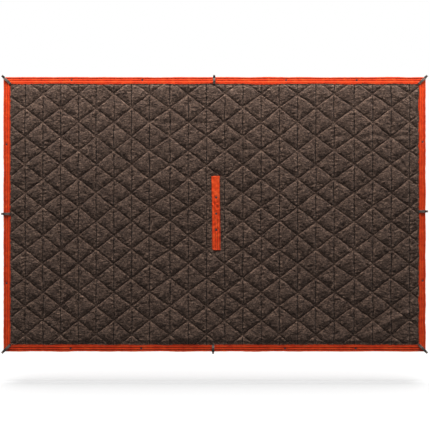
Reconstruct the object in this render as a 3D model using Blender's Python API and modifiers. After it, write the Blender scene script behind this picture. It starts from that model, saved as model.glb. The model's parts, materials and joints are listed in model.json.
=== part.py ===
"""A camp quilt that is also a poncho: two sheets quilted to a batting, a wide sewn binding with
tape loops and snaps, and a head slot in the middle that a snapped placket closes.

The quilt hangs upright in the XZ plane with its front towards -Y.  The origin is the middle of
the top edge, on the quilt's mid-plane.  Everything is in metres.
"""

import math

import bmesh
import bpy
from mathutils import Matrix, Vector

# Overall size
WIDTH = 2.032
HEIGHT = 1.321
GAP = 0.0003

# Layers, measured from the mid-plane
BATTING_HALF = 0.0022
SHEET = 0.0004
SHEET_IN = BATTING_HALF + GAP
SHEET_OUT = SHEET_IN + SHEET

# Binding, measured inwards from the outer edge
BAND = 0.035
BAND_FLAT = 0.0203
BAND_STEP = 0.0224
BAND_FOLD = 0.0013
LEG = 0.0009
LEG_IN = SHEET_OUT + GAP
LEG_OUT = LEG_IN + LEG
CORE_INSET = 0.0235

# Head slot and its placket
SLOT_X = 0.006
SLOT_Z = -HEIGHT / 2 + 0.005
SLOT_WIDE = 0.029
SLOT_LONG = 0.341
FACING_WALL = 0.0008
STRIP_WIDE = 0.039
STRIP_LONG = 0.357
STRIP_THICK = 0.0012
STRIP_IN = SHEET_OUT + GAP
STRIP_OUT = STRIP_IN + STRIP_THICK
STRIP_HINGE_Y = STRIP_IN + STRIP_THICK / 2

# Snaps
SNAP_R = 0.0046
POST_R = 0.0014
HOLE_R = 0.0019
NUB_R = 0.0017
CAVITY_R = 0.0023
NUB_TIP = 0.0006
SOCKET_FLOOR = 0.0006
STUD_FLANGE = 0.0011
TURNS = 16
DRILL_LONG = 0.03
PLACKET_SNAP_X = 0.008
PLACKET_SNAPS = {"upper": 0.081, "middle": 0.003, "lower": -0.075}
EDGE_SNAP_IN = 0.015
EDGE_SNAPS_ALONG = (0.346, 0.686)
EDGE_SNAPS_UP = 0.334
EDGE_CAP_R = SNAP_R - 0.0003
EDGE_CROWN = 0.0012
EDGE_SOCKET_DEEP = 0.0024
EDGE_STUD_REACH = 0.0030
PLACKET_CROWN = 0.0013
PLACKET_SOCKET_DEEP = 0.0027
PLACKET_STUD_REACH = STRIP_IN + 0.0014
RIVET_R = SNAP_R - 0.0004
RIVET_CROWN = 0.0010

# Tape loops
TAPE = 0.0008
TAPE_WIDE = 0.012
EYE_R = 0.0032
EYE_OUT = 0.0062
LOOP_Y = -(LEG_OUT + GAP + TAPE)
ARC_STEPS = 16

# How far the loop and the snaps of each side sit from that side's middle, as they were sewn
SEWN_OFF = {"top": -0.002, "bottom": -0.007, "left": 0.002, "right": 0.014}

MIDDLE = Vector((0, 0, -HEIGHT / 2))
TOWARDS_BACK = Matrix.Rotation(math.radians(90), 4, "X")


def start_empty_file():
    """Remove whatever the file opened with."""
    for thing in list(bpy.data.objects):
        bpy.data.objects.remove(thing)


def collection(name):
    made = bpy.data.collections.new(name)
    bpy.context.scene.collection.children.link(made)
    return made


def finish_of(name, colour, roughness, metallic=0.0):
    """One Principled BSDF material."""
    made = bpy.data.materials.new(name)
    made.use_nodes = True
    shader = made.node_tree.nodes["Principled BSDF"]
    shader.inputs["Base Color"].default_value = (*colour, 1)
    shader.inputs["Roughness"].default_value = roughness
    shader.inputs["Metallic"].default_value = metallic
    return made


def add_piece(name, mesh, finish, place=None):
    """A named part from a mesh, at a place."""
    piece = bpy.data.objects.new(name, mesh)
    PARTS.objects.link(piece)
    mesh.materials.append(finish)
    if place is not None:
        piece.matrix_world = place
    return piece


def outline_mesh(name, loops, half_thickness):
    """A flat outline with holes, as a closed solid lying in its own XY plane."""
    curve = bpy.data.curves.new(name, "CURVE")
    curve.dimensions = "2D"
    curve.fill_mode = "BOTH"
    curve.extrude = half_thickness
    for points in loops:
        spline = curve.splines.new("POLY")
        spline.points.add(len(points) - 1)
        for point, (x, y) in zip(spline.points, points):
            point.co = (x, y, 0, 1)
        spline.use_cyclic_u = True
    holder = bpy.data.objects.new(name, curve)
    bpy.context.scene.collection.objects.link(holder)
    bpy.context.view_layer.update()
    evaluated = holder.evaluated_get(bpy.context.evaluated_depsgraph_get())
    mesh = bpy.data.meshes.new_from_object(evaluated)
    bpy.data.objects.remove(holder)
    form = bmesh.new()
    form.from_mesh(mesh)
    bmesh.ops.remove_doubles(form, verts=form.verts, dist=0.00001)
    bmesh.ops.recalc_face_normals(form, faces=form.faces)
    form.to_mesh(mesh)
    form.free()
    return mesh


def rectangle(wide, high, x=0.0, y=0.0):
    """The corners of a rectangle about a centre."""
    return [(x + i * wide / 2, y + j * high / 2) for i, j in ((-1, -1), (1, -1), (1, 1), (-1, 1))]


def arc(radius, start, end, steps, x=0.0, y=0.0):
    """Points along an arc, both ends included; angles in degrees."""
    angles = [math.radians(start + (end - start) * i / steps) for i in range(steps + 1)]
    return [(x + radius * math.cos(a), y + radius * math.sin(a)) for a in angles]


def slot_outline(extra):
    """The head slot's outline with rounded ends, grown by extra, about the quilt's middle."""
    radius = SLOT_WIDE / 2 + extra
    straight = SLOT_LONG / 2 - SLOT_WIDE / 2
    z = SLOT_Z - MIDDLE.z
    top = arc(radius, 0, 180, 8, SLOT_X, z + straight)
    bottom = arc(radius, 180, 360, 8, SLOT_X, z - straight)
    return top + bottom


def layer(name, finish, half, y):
    """One of the quilt's flat layers, cut out for the head slot."""
    core = rectangle(WIDTH - 2 * CORE_INSET, HEIGHT - 2 * CORE_INSET)
    mesh = outline_mesh(name, [core, slot_outline(0)], half)
    return add_piece(name, mesh, finish, Matrix.Translation(MIDDLE + Vector((0, y, 0))) @ TOWARDS_BACK)


def binding_profile():
    """The folded band's section: distance in from the outer edge, and depth."""
    front = [
        (0, BAND_FOLD),
        (BAND_FLAT, BAND_FOLD),
        (BAND_STEP, LEG_OUT),
        (BAND, LEG_OUT),
        (BAND, LEG_IN),
        (CORE_INSET - GAP, LEG_IN),
    ]
    back = [(x, -y) for x, y in reversed(front)]
    return front + back


def binding(side, length, turn, centre, finish):
    """One length of the binding, mitred at both ends.  Its section lies in local XY with the
    outer edge at local X 0, and its length along local Z."""
    name = "binding_" + side
    mesh = outline_mesh(name, [binding_profile()], length / 2)
    form = bmesh.new()
    form.from_mesh(mesh)
    for end in (-1, 1):
        corner = Vector((0, 0, end * (length / 2 - GAP)))
        cut = bmesh.ops.bisect_plane(
            form,
            geom=form.verts[:] + form.edges[:] + form.faces[:],
            dist=0.000001,
            plane_co=corner,
            plane_no=Vector((1, 0, end)).normalized(),
            clear_outer=True,
        )
        rim = [e for e in cut["geom_cut"] if isinstance(e, bmesh.types.BMEdge)]
        bmesh.ops.contextual_create(form, geom=rim)
    bmesh.ops.recalc_face_normals(form, faces=form.faces[:])
    form.to_mesh(mesh)
    form.free()
    place = Matrix.Translation(centre) @ Matrix.Rotation(turn, 4, "Y")
    return add_piece(name, mesh, finish, place)


def turned_piece(name, profile, finish, place):
    """A round piece turned from a profile of (radius, height) pairs, from its top down its
    outer side to its bottom, about the piece's own Z."""
    mesh = bpy.data.meshes.new(name)
    form = bmesh.new()
    line = [form.verts.new((radius, 0, height)) for radius, height in profile]
    for a, b in zip(line, line[1:]):
        form.edges.new((a, b))
    form.to_mesh(mesh)
    form.free()
    piece = add_piece(name, mesh, finish, place)
    screw = piece.modifiers.new("turn", "SCREW")
    screw.axis = "Z"
    screw.steps = TURNS
    screw.render_steps = TURNS
    screw.use_merge_vertices = True
    screw.merge_threshold = 0.00001
    screw.use_smooth_shade = True
    return piece


def cap_profile(radius, crown, post_end):
    """A low domed cap on a post.  Height 0 is the cap's underside."""
    return [
        (0, crown),
        (radius * 0.75, crown * 0.85),
        (radius, crown * 0.4),
        (radius, 0),
        (POST_R, 0),
        (POST_R, -post_end),
        (0, -post_end),
    ]


def socket_profile(depth):
    """A ring that a stud presses into.  Height 0 is the face against the cloth."""
    return [
        (0, SOCKET_FLOOR),
        (CAVITY_R, SOCKET_FLOOR),
        (CAVITY_R, depth),
        (SNAP_R * 0.7, depth),
        (SNAP_R, depth * 0.5),
        (SNAP_R, 0),
        (0, 0),
    ]


def stud_profile(reach):
    """A flange with a nub.  Height 0 is the face against the cloth."""
    return [
        (0, reach),
        (NUB_R * 0.6, reach),
        (NUB_R, reach - NUB_TIP),
        (NUB_R * 0.9, STUD_FLANGE),
        (SNAP_R * 0.9, STUD_FLANGE),
        (SNAP_R, STUD_FLANGE * 0.5),
        (SNAP_R, 0),
        (0, 0),
    ]


def facing_out(x, y, z, forwards):
    """Where a turned piece goes: its own Z runs towards -Y if forwards, else towards +Y."""
    turn = Matrix.Rotation(math.radians(90 if forwards else -90), 4, "X")
    return Matrix.Translation((x, y, z)) @ turn


def drill(piece, x, z):
    """A hole for a snap's post, straight through a piece along Y."""
    bpy.ops.mesh.primitive_cylinder_add(
        vertices=12, radius=HOLE_R, depth=DRILL_LONG, location=(x, 0, z), rotation=(math.radians(90), 0, 0)
    )
    cutter = bpy.context.object
    cutter.name = "cut_" + piece.name
    cutter.hide_render = True
    cutter.display_type = "WIRE"
    for held in list(cutter.users_collection):
        held.objects.unlink(cutter)
    CUTTERS.objects.link(cutter)
    hole = piece.modifiers.new("hole", "BOOLEAN")
    hole.operation = "DIFFERENCE"
    hole.object = cutter


def edge_snaps(bindings):
    """Twelve snaps on the binding.  The left half has sockets and the right half studs, so the
    halves close on each other when the quilt is folded over the slot."""
    top = -EDGE_SNAP_IN
    bottom = -HEIGHT + EDGE_SNAP_IN
    end = WIDTH / 2 - EDGE_SNAP_IN
    places = []
    for side, z in (("top", top), ("bottom", bottom)):
        for sign in (-1, 1):
            for rank, x in zip(("inner", "outer"), EDGE_SNAPS_ALONG):
                places.append((side, rank, SEWN_OFF[side] + sign * x, z))
    for side, x in (("left", -end), ("right", end)):
        for rank, z in (("upper", EDGE_SNAPS_UP), ("lower", -EDGE_SNAPS_UP)):
            places.append((side, rank, x, MIDDLE.z + SEWN_OFF[side] + z))
    face = BAND_FOLD + GAP
    for side, rank, x, z in places:
        half = "left" if x < 0 else "right"
        label = f"{side}_{rank}" if side in ("left", "right") else f"{side}_{half}_{rank}"
        drill(bindings[side], x, z)
        cap = cap_profile(EDGE_CAP_R, EDGE_CROWN, 2 * face - GAP)
        turned_piece(f"edge_cap_{label}", cap, SNAP_METAL, facing_out(x, -face, z, True))
        if x < 0:
            kind, back = "socket", socket_profile(EDGE_SOCKET_DEEP)
        else:
            kind, back = "stud", stud_profile(EDGE_STUD_REACH)
        turned_piece(f"edge_{kind}_{label}", back, SNAP_METAL, facing_out(x, face, z, False))


def strip(name, y, hinge_x):
    """One strip of the placket, with its origin on the line where it is sewn down."""
    middle = SLOT_X - hinge_x
    shape = rectangle(STRIP_WIDE, STRIP_LONG, middle, 0)
    mesh = outline_mesh(name, [shape], STRIP_THICK / 2)
    place = Matrix.Translation((hinge_x, y, SLOT_Z)) @ TOWARDS_BACK
    return add_piece(name, mesh, BAND_CLOTH, place)


def ride_on(strip_piece, name, profile, place):
    """A snap piece that is carried by a strip."""
    piece = turned_piece(name, profile, SNAP_METAL, place)
    piece.parent = strip_piece
    piece.matrix_parent_inverse = strip_piece.matrix_world.inverted()


def placket():
    """The two strips that close the head slot, and their three snaps."""
    right = SLOT_X + STRIP_WIDE / 2
    left = SLOT_X - STRIP_WIDE / 2
    over = strip("placket_over", -STRIP_HINGE_Y, right)
    under = strip("placket_under", STRIP_HINGE_Y, left)
    cap = cap_profile(SNAP_R, PLACKET_CROWN, STRIP_THICK + GAP)
    socket = socket_profile(PLACKET_SOCKET_DEEP)
    stud = stud_profile(PLACKET_STUD_REACH)
    rivet = cap_profile(RIVET_R, RIVET_CROWN, STRIP_THICK + GAP)
    inner = STRIP_IN - GAP
    outer = STRIP_OUT + GAP
    for label, up in PLACKET_SNAPS.items():
        x = PLACKET_SNAP_X
        z = MIDDLE.z + up
        drill(over, x, z)
        drill(under, x, z)
        ride_on(over, f"placket_cap_{label}", cap, facing_out(x, -outer, z, True))
        ride_on(over, f"placket_socket_{label}", socket, facing_out(x, -inner, z, False))
        ride_on(under, f"placket_stud_{label}", stud, facing_out(x, inner, z, True))
        ride_on(under, f"placket_rivet_{label}", rivet, facing_out(x, outer, z, False))


def tape_loop(label, base, direction, reach):
    """A folded tape sewn at the binding's inner edge, with an eye beyond the outer edge.  Its
    origin is on the seam it turns about, and reach is from the seam to the eye."""
    outer = EYE_R + TAPE
    meet = math.degrees(math.asin(TAPE / outer))
    round_end = arc(outer, -180 + meet, 180 - meet, ARC_STEPS, reach, 0)
    outside = [(0, -TAPE)] + round_end + [(0, TAPE)]
    eye = arc(EYE_R, 0, 360 - 360 / ARC_STEPS, ARC_STEPS - 1, reach, 0)
    name = "loop_" + label
    mesh = outline_mesh(name, [outside, eye], TAPE_WIDE / 2)
    along = Vector((direction[0], 0, direction[1])).normalized()
    across = along.cross(Vector((0, 1, 0)))
    axes = Matrix((along, (0, 1, 0), across)).transposed().to_4x4()
    add_piece(name, mesh, LOOP_TAPE, Matrix.Translation((base[0], LOOP_Y, base[1])) @ axes)


def tape_loops():
    """Eight loops: one at each corner and one at the middle of each side."""
    half_wide = WIDTH / 2 - BAND
    half_high = HEIGHT / 2 - BAND
    for row, up in (("top", 1), ("middle", 0), ("bottom", -1)):
        for column, out in (("left", -1), ("centre", 0), ("right", 1)):
            if up == 0 and out == 0:
                continue
            x = out * half_wide if out else SEWN_OFF[row]
            z = up * half_high if up else SEWN_OFF[column]
            reach = BAND * math.hypot(out, up) + EYE_OUT
            tape_loop(f"{row}_{column}", (x, MIDDLE.z + z), (out, up), reach)


start_empty_file()
PARTS = collection("camp_quilt")
CUTTERS = collection("cutters")
FRONT_CLOTH = finish_of("brown brushed cloth", (0.105, 0.075, 0.056), 0.9)
BACK_CLOTH = finish_of("orange ripstop", (0.72, 0.09, 0.03), 0.6)
FILLING = finish_of("white batting", (0.80, 0.80, 0.78), 0.95)
BAND_CLOTH = finish_of("orange binding cloth", (0.78, 0.08, 0.025), 0.7)
LOOP_TAPE = finish_of("dark woven tape", (0.045, 0.038, 0.034), 0.8)
SNAP_METAL = finish_of("gunmetal", (0.16, 0.16, 0.165), 0.4, 1.0)

sheet_y = SHEET_IN + SHEET / 2
layer("front_shell", FRONT_CLOTH, SHEET / 2, -sheet_y)
layer("batting", FILLING, BATTING_HALF, 0)
layer("back_lining", BACK_CLOTH, SHEET / 2, sheet_y)

facing = outline_mesh("slot_facing", [slot_outline(-GAP), slot_outline(-GAP - FACING_WALL)], SHEET_OUT)
add_piece("slot_facing", facing, BAND_CLOTH, Matrix.Translation(MIDDLE) @ TOWARDS_BACK)

edges = {
    "top": (WIDTH, math.radians(90), Vector((0, 0, 0))),
    "bottom": (WIDTH, math.radians(-90), Vector((0, 0, -HEIGHT))),
    "left": (HEIGHT, 0, MIDDLE - Vector((WIDTH / 2, 0, 0))),
    "right": (HEIGHT, math.radians(180), MIDDLE + Vector((WIDTH / 2, 0, 0))),
}
bands = {}
for side, (length, turn, centre) in edges.items():
    bands[side] = binding(side, length, turn, centre, BAND_CLOTH)

edge_snaps(bands)
placket()
tape_loops()
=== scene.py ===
import json
import math

import bmesh
import bpy
import numpy as np
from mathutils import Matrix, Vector

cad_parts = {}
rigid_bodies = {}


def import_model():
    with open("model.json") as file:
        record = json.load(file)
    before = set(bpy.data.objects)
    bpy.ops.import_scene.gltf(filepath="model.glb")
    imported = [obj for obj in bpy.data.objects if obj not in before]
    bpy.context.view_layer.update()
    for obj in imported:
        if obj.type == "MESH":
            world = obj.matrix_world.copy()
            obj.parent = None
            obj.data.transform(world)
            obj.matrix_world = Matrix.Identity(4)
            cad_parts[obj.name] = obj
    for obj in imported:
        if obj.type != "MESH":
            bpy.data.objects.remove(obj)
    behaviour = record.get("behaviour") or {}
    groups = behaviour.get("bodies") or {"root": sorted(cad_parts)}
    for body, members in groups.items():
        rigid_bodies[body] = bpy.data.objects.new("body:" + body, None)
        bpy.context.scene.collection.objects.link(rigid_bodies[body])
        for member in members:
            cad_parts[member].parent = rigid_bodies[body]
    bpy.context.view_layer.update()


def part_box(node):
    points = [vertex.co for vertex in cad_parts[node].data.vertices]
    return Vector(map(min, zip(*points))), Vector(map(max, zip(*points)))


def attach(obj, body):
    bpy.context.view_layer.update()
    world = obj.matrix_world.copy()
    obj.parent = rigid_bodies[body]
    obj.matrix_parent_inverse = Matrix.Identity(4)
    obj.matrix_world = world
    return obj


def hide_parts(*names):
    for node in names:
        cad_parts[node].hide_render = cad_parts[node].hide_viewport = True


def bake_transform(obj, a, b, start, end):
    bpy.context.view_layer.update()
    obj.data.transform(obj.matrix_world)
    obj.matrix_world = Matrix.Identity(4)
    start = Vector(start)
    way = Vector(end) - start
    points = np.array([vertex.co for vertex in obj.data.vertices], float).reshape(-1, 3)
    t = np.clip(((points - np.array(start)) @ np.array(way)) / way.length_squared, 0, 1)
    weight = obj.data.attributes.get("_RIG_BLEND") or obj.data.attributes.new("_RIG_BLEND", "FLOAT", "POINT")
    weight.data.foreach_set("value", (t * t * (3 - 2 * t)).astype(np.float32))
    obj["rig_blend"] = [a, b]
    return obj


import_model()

# ---------------------------------------------------------------------------------------------
# The stand: a pale floor under the hanging quilt, soft light from above, and a level camera.
# The quilt hangs 146 mm over the floor, square on to the camera.
# ---------------------------------------------------------------------------------------------
left_low, left_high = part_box("binding_left")
quilt_left, quilt_right = left_low.x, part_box("binding_right")[1].x
quilt_bottom, quilt_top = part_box("binding_bottom")[0].z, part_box("binding_top")[1].z
middle_x = (quilt_left + quilt_right) / 2
middle_z = (quilt_bottom + quilt_top) / 2
band_wide = left_high.x - left_low.x
floor_z = quilt_bottom - 0.146


def linear(colour):
    """An sRGB hex colour as linear RGB with alpha."""
    parts = [int(colour[i : i + 2], 16) / 255 for i in (1, 3, 5)]
    return (*[c / 12.92 if c <= 0.04045 else ((c + 0.055) / 1.055) ** 2.4 for c in parts], 1.0)


def add(tree, kind, links=None, stops=(), **settings):
    """A node with its settings, its inputs set to values or linked to outputs, and a colour
    ramp's (position, colour) stops."""
    made = tree.nodes.new("ShaderNode" + kind)
    for name, value in settings.items():
        setattr(made, name, value)
    for _ in stops[2:]:
        made.color_ramp.elements.new(0.5)
    for place, (position, colour) in enumerate(stops):
        made.color_ramp.elements[place].position = position
        made.color_ramp.elements[place].color = linear(colour)
    for name, value in (links or {}).items():
        if isinstance(value, bpy.types.NodeSocket):
            tree.links.new(value, made.inputs[name])
        else:
            made.inputs[name].default_value = value
    return made


def material(name):
    """An empty node material and its tree."""
    made = bpy.data.materials.new(name)
    made.use_nodes = True
    made.node_tree.nodes.clear()
    return made, made.node_tree


def surface(tree, look):
    """Closes a material with one principled surface."""
    add(tree, "OutputMaterial", {"Surface": add(tree, "BsdfPrincipled", look).outputs[0]})


def new_piece(name, form, finish=None, smooth=True):
    """A named object from a bmesh, at the origin."""
    mesh = bpy.data.meshes.new(name)
    form.to_mesh(mesh)
    form.free()
    piece = bpy.data.objects.new(name, mesh)
    bpy.context.scene.collection.objects.link(piece)
    if finish:
        mesh.materials.append(finish)
    if smooth:
        mesh.shade_smooth()
    return piece


def places(mesh):
    """A mesh's points as an array."""
    points = np.zeros(len(mesh.vertices) * 3)
    mesh.vertices.foreach_get("co", points)
    return points.reshape(-1, 3)


def put(mesh, points):
    mesh.vertices.foreach_set("co", np.asarray(points, float).ravel())
    mesh.update()


# Studio paper on a light table: matt, and glowing white from beneath.  A painted shadow dims the
# glow under the quilt's foot, in a core 45 mm deep and a wider, fainter skirt.
studio_paper, tree = material("studio_paper")
spot = add(tree, "SeparateXYZ", {0: add(tree, "TexCoord").outputs["Object"]})
square = add(tree, "Math", {0: spot.outputs["Y"], 1: spot.outputs["Y"]}, operation="MULTIPLY").outputs[0]
painted_shadow = 0.0
for deep, share in ((0.045, 0.17), (0.20, 0.075)):
    near = add(tree, "Math", {0: square, 1: -1 / deep**2}, operation="MULTIPLY").outputs[0]
    near = add(tree, "Math", {0: near}, operation="EXPONENT").outputs[0]
    painted_shadow = add(tree, "Math", {0: near, 1: share, 2: painted_shadow}, operation="MULTIPLY_ADD").outputs[0]
aside = add(tree, "Math", {0: spot.outputs["X"], 1: middle_x}, operation="SUBTRACT").outputs[0]
aside = add(tree, "Math", {0: aside}, operation="ABSOLUTE").outputs[0]
ends = {"Value": aside, "From Min": 0.90, "From Max": 1.06, "To Min": 1.0, "To Max": 0.0}
under = add(tree, "MapRange", ends, interpolation_type="SMOOTHSTEP").outputs[0]
painted_shadow = add(tree, "Math", {0: painted_shadow, 1: under}, operation="MULTIPLY").outputs[0]
# painted shadow: the paper's glow is lowered under the quilt's foot
beneath = add(tree, "Math", {0: 0.60, 1: painted_shadow}, operation="SUBTRACT").outputs[0]
paper_look = {"Base Color": linear("#646464"), "Roughness": 0.95, "Emission Color": linear("#FFFFFF")}
surface(tree, {**paper_look, "Emission Strength": beneath})
form = bmesh.new()
bmesh.ops.create_grid(form, x_segments=1, y_segments=1, size=30)
floor = new_piece("floor", form, studio_paper, smooth=False)
put(floor.data, places(floor.data) + [0, 0, floor_z])
floor.visible_diffuse = False

# The room is white behind the quilt and dimmer as a light, so that the lamps shape the quilt.
scene = bpy.context.scene
scene.view_settings.view_transform = "Standard"
scene.world = bpy.data.worlds.new("studio")
scene.world.use_nodes = True
tree = scene.world.node_tree
tree.nodes.clear()
seen = add(tree, "LightPath").outputs["Is Camera Ray"]
glow = add(tree, "MapRange", {"Value": seen, "To Min": 0.15, "To Max": 1.0}).outputs["Result"]
add(tree, "OutputWorld", {"Surface": add(tree, "Background", {"Strength": glow}).outputs[0]})
tree.nodes["Background"].inputs["Color"].default_value = (1, 1, 1, 1)


def lamp(name, kind, place, target, power, **settings):
    """A lamp at a place, facing a point."""
    light = bpy.data.lights.new(name, kind)
    light.energy = power
    for setting, value in settings.items():
        setattr(light, setting, value)
    holder = bpy.data.objects.new(name, light)
    scene.collection.objects.link(holder)
    holder.location = place
    holder.rotation_mode = "QUATERNION"
    holder.rotation_quaternion = (Vector(place) - Vector(target)).to_track_quat("Z", "Y")
    holder.visible_camera = False


quilt_middle = Vector((middle_x, 0, middle_z))
steep = math.radians(80)
for name, side in (("sun_front", -1), ("sun_rear", 1)):
    aim = Vector((0, side * math.cos(steep), math.sin(steep)))
    lamp(name, "SUN", quilt_middle + aim * 3, quilt_middle, 4.3, angle=math.radians(34))
soft_box = {"shape": "RECTANGLE", "size": 4.2, "size_y": 0.35}
lamp("key_front", "AREA", (0.1, -0.36, 0.60), (0.1, 0, middle_z + 0.3), 31, **soft_box)
lamp("key_rear", "AREA", (0.1, 0.36, 0.60), (0.1, 0, middle_z + 0.3), 25, **soft_box)

camera_data = bpy.data.cameras.new("camera")
camera_data.lens = 85
camera = bpy.data.objects.new("camera", camera_data)
scene.collection.objects.link(camera)
view_wide = 2.070
camera.location = (
    middle_x + 0.002,
    -view_wide / camera_data.sensor_width * camera_data.lens,
    middle_z - 0.0034,
)
camera.rotation_euler = (math.radians(90), 0, 0)
scene.camera = camera

# ---------------------------------------------------------------------------------------------
# Front shell: brown brushed cloth, sewn through to the lining along a lattice of upright rows
# and crossing diagonals.  A quilting machine sews the rows in three passes, a little apart.
# The batting puffs it up between the rows and the cloth puckers beside them.
# ---------------------------------------------------------------------------------------------
# Each pass: its first row's place from the middle, the pitch of its rows, and how many rows
PASSES = ((-0.911, 0.0853, 8), (-0.214, 0.0876, 10), (0.672, 0.0887, 4))
PITCH = 0.0873
ROW_STEP = 0.0681
FIRST_NODE = 0.580
UNDER_BAND = 0.010
ON_SEAM = 0.0002
FINE = 18
seam_x = [start + pitch * i for start, pitch, count in PASSES for i in range(count)]
seam_x = [seam_x[0] - 0.087] + seam_x + [seam_x[-1] + 0.087]
shell_wide = quilt_right - quilt_left - 2 * (band_wide - UNDER_BAND)
shell_high = quilt_top - quilt_bottom - 2 * (band_wide - UNDER_BAND)
slot_low, slot_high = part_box("slot_facing")
strip_low, strip_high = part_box("placket_over")


def ripple(p, q, length, seed, waves=9):
    """Smooth unevenness over a surface, about -1 to 1, with bumps of about that length."""
    chance = np.random.default_rng(seed)
    total = 0
    for _ in range(waves):
        turn, phase = chance.uniform(0, 2 * math.pi, 2)
        pace = 2 * math.pi / length * chance.uniform(0.7, 1.4)
        total = total + np.sin(pace * (p * math.cos(turn) + q * math.sin(turn)) + phase)
    return total / math.sqrt(waves)


def ease(value, start, end):
    """0 before start and 1 after end, with a smooth rise."""
    t = np.clip((value - start) / (end - start), 0, 1)
    return t * t * (3 - 2 * t)


# Soft creases across the whole quilt: both ends from its middle, height, width
CREASES = (
    ((0.950, -0.451), (0.753, -0.571), 0.0045, 0.014),
    ((0.579, 0.372), (0.974, 0.376), -0.0030, 0.010),
    ((-0.345, 0.446), (-0.176, 0.441), -0.0030, 0.010),
    ((-0.152, 0.441), (0.002, 0.437), -0.0028, 0.010),
    ((0.132, 0.306), (0.310, 0.312), -0.0026, 0.010),
    ((0.854, 0.579), (0.936, 0.526), 0.0035, 0.012),
    ((-0.912, -0.388), (-0.744, -0.538), -0.0040, 0.013),
    ((-0.912, 0.617), (-0.869, 0.579), 0.0035, 0.012),
)


def hang(x, z):
    """How far the hanging quilt stands forward at a place: its long waves and its creases."""
    a, b = x - middle_x, z - middle_z
    out = 0.0016 * ripple(a, b, 0.45, 3) + 0.0010 * ripple(a, b, 0.17, 4)
    for (x0, z0), (x1, z1), height, width in CREASES:
        long = math.hypot(x1 - x0, z1 - z0)
        dx, dz = (x1 - x0) / long, (z1 - z0) / long
        along = (a - x0) * dx + (b - z0) * dz
        across = (a - x0) * dz - (b - z0) * dx + 0.004 * np.sin(along * 40)
        ends = ease(along, -0.03, 0.04) * (1 - ease(along, long - 0.04, long + 0.03))
        out = out + height * ends * np.exp(-((across / width) ** 2))
    inside = np.minimum(shell_wide / 2 - np.abs(a), shell_high / 2 - np.abs(b))
    return -out * ease(inside, 0.012, 0.05) * ease(beside_placket(x, z), 0, 0.04)


def wander(x, z):
    """How far a sewn line strays from its straight course."""
    return 0.0013 * ripple(x, z, 0.24, 11), 0.0016 * ripple(x, z, 0.20, 12)


def slanted_gap(u, v):
    """The distance to the nearest slanting seam, for lattice places."""
    lean = 2 * PITCH * ROW_STEP / math.hypot(PITCH, ROW_STEP)
    rising = np.abs((u - v) / 2 - np.rint((u - v) / 2)) * lean
    falling = np.abs((u + v) / 2 - np.rint((u + v) / 2)) * lean
    return np.minimum(rising, falling)


def nearest_seam(u, v):
    """The distance to the nearest seam of any kind, for lattice places."""
    return np.minimum(np.abs(u - np.rint(u)) * PITCH, slanted_gap(u, v))


def crossing_gap(u, v):
    """The distance to the nearest place where slanting seams cross on an upright one."""
    near_u = np.rint(u)
    near_v = 2 * np.rint((v - near_u) / 2) + near_u
    return np.hypot((u - near_u) * PITCH, (v - near_v) * ROW_STEP)


def beside_placket(x, z):
    """The distance outwards from the placket's edge."""
    middle, half = (strip_low + strip_high) / 2, (strip_high - strip_low) / 2
    return np.maximum(np.abs(x - middle.x) - half.x, np.abs(z - middle.z) - half.z)


def sewn_grid(name, fine):
    """A flat sheet whose grid follows the lattice, with the head slot cut out.  Returns the
    piece and each point's lattice place."""
    u_low = np.interp(-shell_wide / 2, seam_x, range(len(seam_x)))
    u_high = np.interp(shell_wide / 2, seam_x, range(len(seam_x)))
    v_high = (FIRST_NODE + shell_high / 2) / ROW_STEP
    v_low = (FIRST_NODE - shell_high / 2) / ROW_STEP
    i_low, i_high = math.ceil(u_low * fine), math.floor(u_high * fine)
    j_low, j_high = math.ceil(v_low * fine), math.floor(v_high * fine)
    form = bmesh.new()
    bmesh.ops.create_grid(form, x_segments=i_high - i_low, y_segments=j_high - j_low, size=0.5)
    for point in form.verts:
        i = i_low + round((point.co.x + 0.5) * (i_high - i_low))
        j = j_low + round((0.5 - point.co.y) * (j_high - j_low))
        point.co = (i / fine, 0, j / fine)
    mesh = bpy.data.meshes.new(name)
    form.to_mesh(mesh)
    form.free()
    at = places(mesh)
    u, v = at[:, 0], at[:, 2]
    x = middle_x + np.interp(u, range(len(seam_x)), seam_x)
    z = middle_z + FIRST_NODE - v * ROW_STEP
    # the columns and rows nearest the head slot are drawn onto its edges
    cut_wide, cut_high = PITCH / fine / 2, ROW_STEP / fine / 2
    for edge in (slot_low.x, slot_high.x):
        near = (np.abs(x - edge) <= cut_wide) & (z > slot_low.z - cut_high) & (z < slot_high.z + cut_high)
        x = np.where(near, edge, x)
    for edge in (slot_low.z, slot_high.z):
        near = (np.abs(z - edge) <= cut_high) & (x > slot_low.x - cut_wide) & (x < slot_high.x + cut_wide)
        z = np.where(near, edge, z)
    put(mesh, np.stack([x, np.zeros(len(x)), z], 1))
    form = bmesh.new()
    form.from_mesh(mesh)
    bpy.data.meshes.remove(mesh)
    keep_u = form.verts.layers.float.new("u")
    keep_v = form.verts.layers.float.new("v")
    for point, here_u, here_v in zip(form.verts, u, v):
        point[keep_u], point[keep_v] = here_u, here_v
    inside = [
        f
        for f in form.faces
        if slot_low.x < f.calc_center_median().x < slot_high.x
        and slot_low.z < f.calc_center_median().z < slot_high.z
    ]
    bmesh.ops.delete(form, geom=inside, context="FACES")
    # each quad that a slanting seam crosses is split along it, so that the seam stays straight
    for face in form.faces[:]:
        corners = face.verts[:]
        for ends in ((corners[0], corners[2]), (corners[1], corners[3])):
            if max(slanted_gap(point[keep_u], point[keep_v]) for point in ends) < ON_SEAM:
                bmesh.utils.face_split(face, *ends)
                break
    return new_piece(name, form)


def lattice_of(mesh):
    """Each point's lattice place."""
    u = np.zeros(len(mesh.vertices))
    v = np.zeros(len(mesh.vertices))
    mesh.attributes["u"].data.foreach_get("value", u)
    mesh.attributes["v"].data.foreach_get("value", v)
    return u, v


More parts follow.
